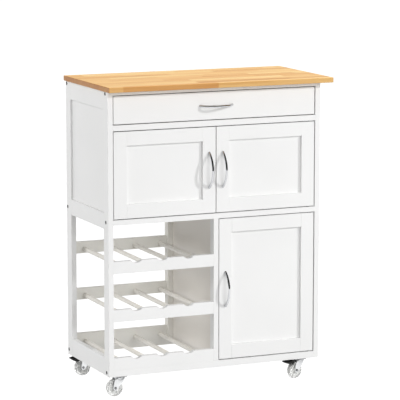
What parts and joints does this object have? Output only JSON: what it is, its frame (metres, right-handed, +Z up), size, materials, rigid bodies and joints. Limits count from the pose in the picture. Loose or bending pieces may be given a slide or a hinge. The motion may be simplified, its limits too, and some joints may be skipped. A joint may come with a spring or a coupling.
{
  "type": "kitchen island cart",
  "caption": "Narrow white kitchen trolley with a wooden worktop, a drawer, cupboards with framed doors, an open bottle rack and swivel castors.",
  "frame": {"origin": "on the floor, under the middle of the worktop", "axes": "+X to the right seen from the front, +Y to the back, +Z up"},
  "size_m": [0.696, 0.365, 0.89],
  "materials": {
    "white_lacquer": "satin white lacquer on board",
    "worktop_wood": "oiled edge-glued strips",
    "drawer_wood": "pale foiled board",
    "dark_steel": "blackened screw heads",
    "black_plastic": "moulded black",
    "chrome": "polished",
    "zinc_steel": "bright zinc plate",
    "wheel_plastic": "translucent pale grey"
  },
  "bodies": {
    "frame": {"worktop": "worktop_wood", "post_front_left": "white_lacquer", "post_front_right": "white_lacquer", "post_back_left": "white_lacquer", "post_back_right": "white_lacquer", "post_front_middle": "white_lacquer", "post_back_middle": "white_lacquer", "front_top_rail": "white_lacquer", "drawer_rail": "white_lacquer", "back_top_rail": "white_lacquer", "cabinet_floor": "white_lacquer", "bottom_front_rail": "white_lacquer", "bottom_back_rail": "white_lacquer", "left_side_rails": "white_lacquer", "right_side_rails": "white_lacquer", "left_side_panel": "white_lacquer", "right_side_panels": "white_lacquer", "upper_back_panel": "white_lacquer", "lower_back_panel": "white_lacquer", "divider_panel": "white_lacquer", "bottom_panel": "white_lacquer", "lower_shelf": "white_lacquer", "shelf_pins": "zinc_steel", "rack_front_rails": "white_lacquer", "rack_back_rails": "white_lacquer", "rack_dowels": "white_lacquer", "frame_bolts": "dark_steel", "drawer_guides": "drawer_wood", "pivot_bushes": "black_plastic", "door_catches": "black_plastic", "castor_blocks": "white_lacquer", "castor_plates": "zinc_steel", "castor_screws": "zinc_steel"},
    "drawer": {"drawer_front": "white_lacquer", "drawer_sides": "drawer_wood", "drawer_back": "drawer_wood", "drawer_bottom": "drawer_wood", "drawer_handle": "chrome"},
    "upper_left_door": {"upper_left_door_frame": "white_lacquer", "upper_left_door_panel": "white_lacquer", "upper_left_handle": "chrome", "upper_left_fittings": "zinc_steel"},
    "upper_right_door": {"upper_right_door_frame": "white_lacquer", "upper_right_door_panel": "white_lacquer", "upper_right_handle": "chrome", "upper_right_fittings": "zinc_steel"},
    "lower_door": {"lower_door_frame": "white_lacquer", "lower_door_panel": "white_lacquer", "lower_handle": "chrome", "lower_fittings": "zinc_steel"},
    "castor_front_left": {"fork_front_left": "zinc_steel"},
    "castor_front_right": {"fork_front_right": "zinc_steel"},
    "castor_back_left": {"fork_back_left": "zinc_steel"},
    "castor_back_right": {"fork_back_right": "zinc_steel"},
    "wheel_body_front_left": {"wheel_front_left": "wheel_plastic"},
    "wheel_body_front_right": {"wheel_front_right": "wheel_plastic"},
    "wheel_body_back_left": {"wheel_back_left": "wheel_plastic"},
    "wheel_body_back_right": {"wheel_back_right": "wheel_plastic"},
    "brake_lever_front_right": {"brake_front_right": "black_plastic"},
    "brake_lever_back_left": {"brake_back_left": "black_plastic"}
  },
  "joints": [
    {"name": "drawer_slide", "type": "slide", "parent": "frame", "child": "drawer", "axis": [0, -1, 0], "range_m": [0, 0.2]},
    {"name": "upper_left_door_hinge", "type": "hinge", "parent": "frame", "child": "upper_left_door", "pos_m": [-0.3085, -0.1443, 0.64], "axis": [0, 0, -1], "range_deg": [0, 110]},
    {"name": "upper_right_door_hinge", "type": "hinge", "parent": "frame", "child": "upper_right_door", "pos_m": [0.2865, -0.1443, 0.64], "axis": [0, 0, 1], "range_deg": [0, 110]},
    {"name": "lower_door_hinge", "type": "hinge", "parent": "frame", "child": "lower_door", "pos_m": [0.2865, -0.1443, 0.29], "axis": [0, 0, 1], "range_deg": [0, 110]},
    {"name": "swivel_front_left", "type": "hinge", "parent": "frame", "child": "castor_front_left", "pos_m": [-0.3035, -0.1335, 0.058], "axis": [0, 0, 1], "continuous": true},
    {"name": "wheel_spin_front_left", "type": "hinge", "parent": "castor_front_left", "child": "wheel_body_front_left", "pos_m": [-0.3185, -0.1335, 0.025], "axis": [0, 1, 0], "continuous": true},
    {"name": "swivel_front_right", "type": "hinge", "parent": "frame", "child": "castor_front_right", "pos_m": [0.2635, -0.1335, 0.058], "axis": [0, 0, 1], "continuous": true},
    {"name": "wheel_spin_front_right", "type": "hinge", "parent": "castor_front_right", "child": "wheel_body_front_right", "pos_m": [0.24923, -0.13814, 0.025], "axis": [-0.309, 0.9511, 0], "continuous": true},
    {"name": "swivel_back_left", "type": "hinge", "parent": "frame", "child": "castor_back_left", "pos_m": [-0.2964, 0.1445, 0.058], "axis": [0, 0, 1], "continuous": true},
    {"name": "wheel_spin_back_left", "type": "hinge", "parent": "castor_back_left", "child": "wheel_body_back_left", "pos_m": [-0.3114, 0.1445, 0.025], "axis": [0, 1, 0], "continuous": true},
    {"name": "swivel_back_right", "type": "hinge", "parent": "frame", "child": "castor_back_right", "pos_m": [0.2635, 0.1445, 0.058], "axis": [0, 0, 1], "continuous": true},
    {"name": "wheel_spin_back_right", "type": "hinge", "parent": "castor_back_right", "child": "wheel_body_back_right", "pos_m": [0.2499, 0.15084, 0.025], "axis": [0.4226, 0.9063, 0], "continuous": true},
    {"name": "brake_press_front_right", "type": "hinge", "parent": "castor_front_right", "child": "brake_lever_front_right", "pos_m": [0.2597, -0.13474, 0.0504], "axis": [0.309, -0.9511, 0], "range_deg": [0, 3.8]},
    {"name": "brake_press_back_left", "type": "hinge", "parent": "castor_back_left", "child": "brake_lever_back_left", "pos_m": [-0.3004, 0.1445, 0.0504], "axis": [0, -1, 0], "range_deg": [0, 3.8]}
  ]
}
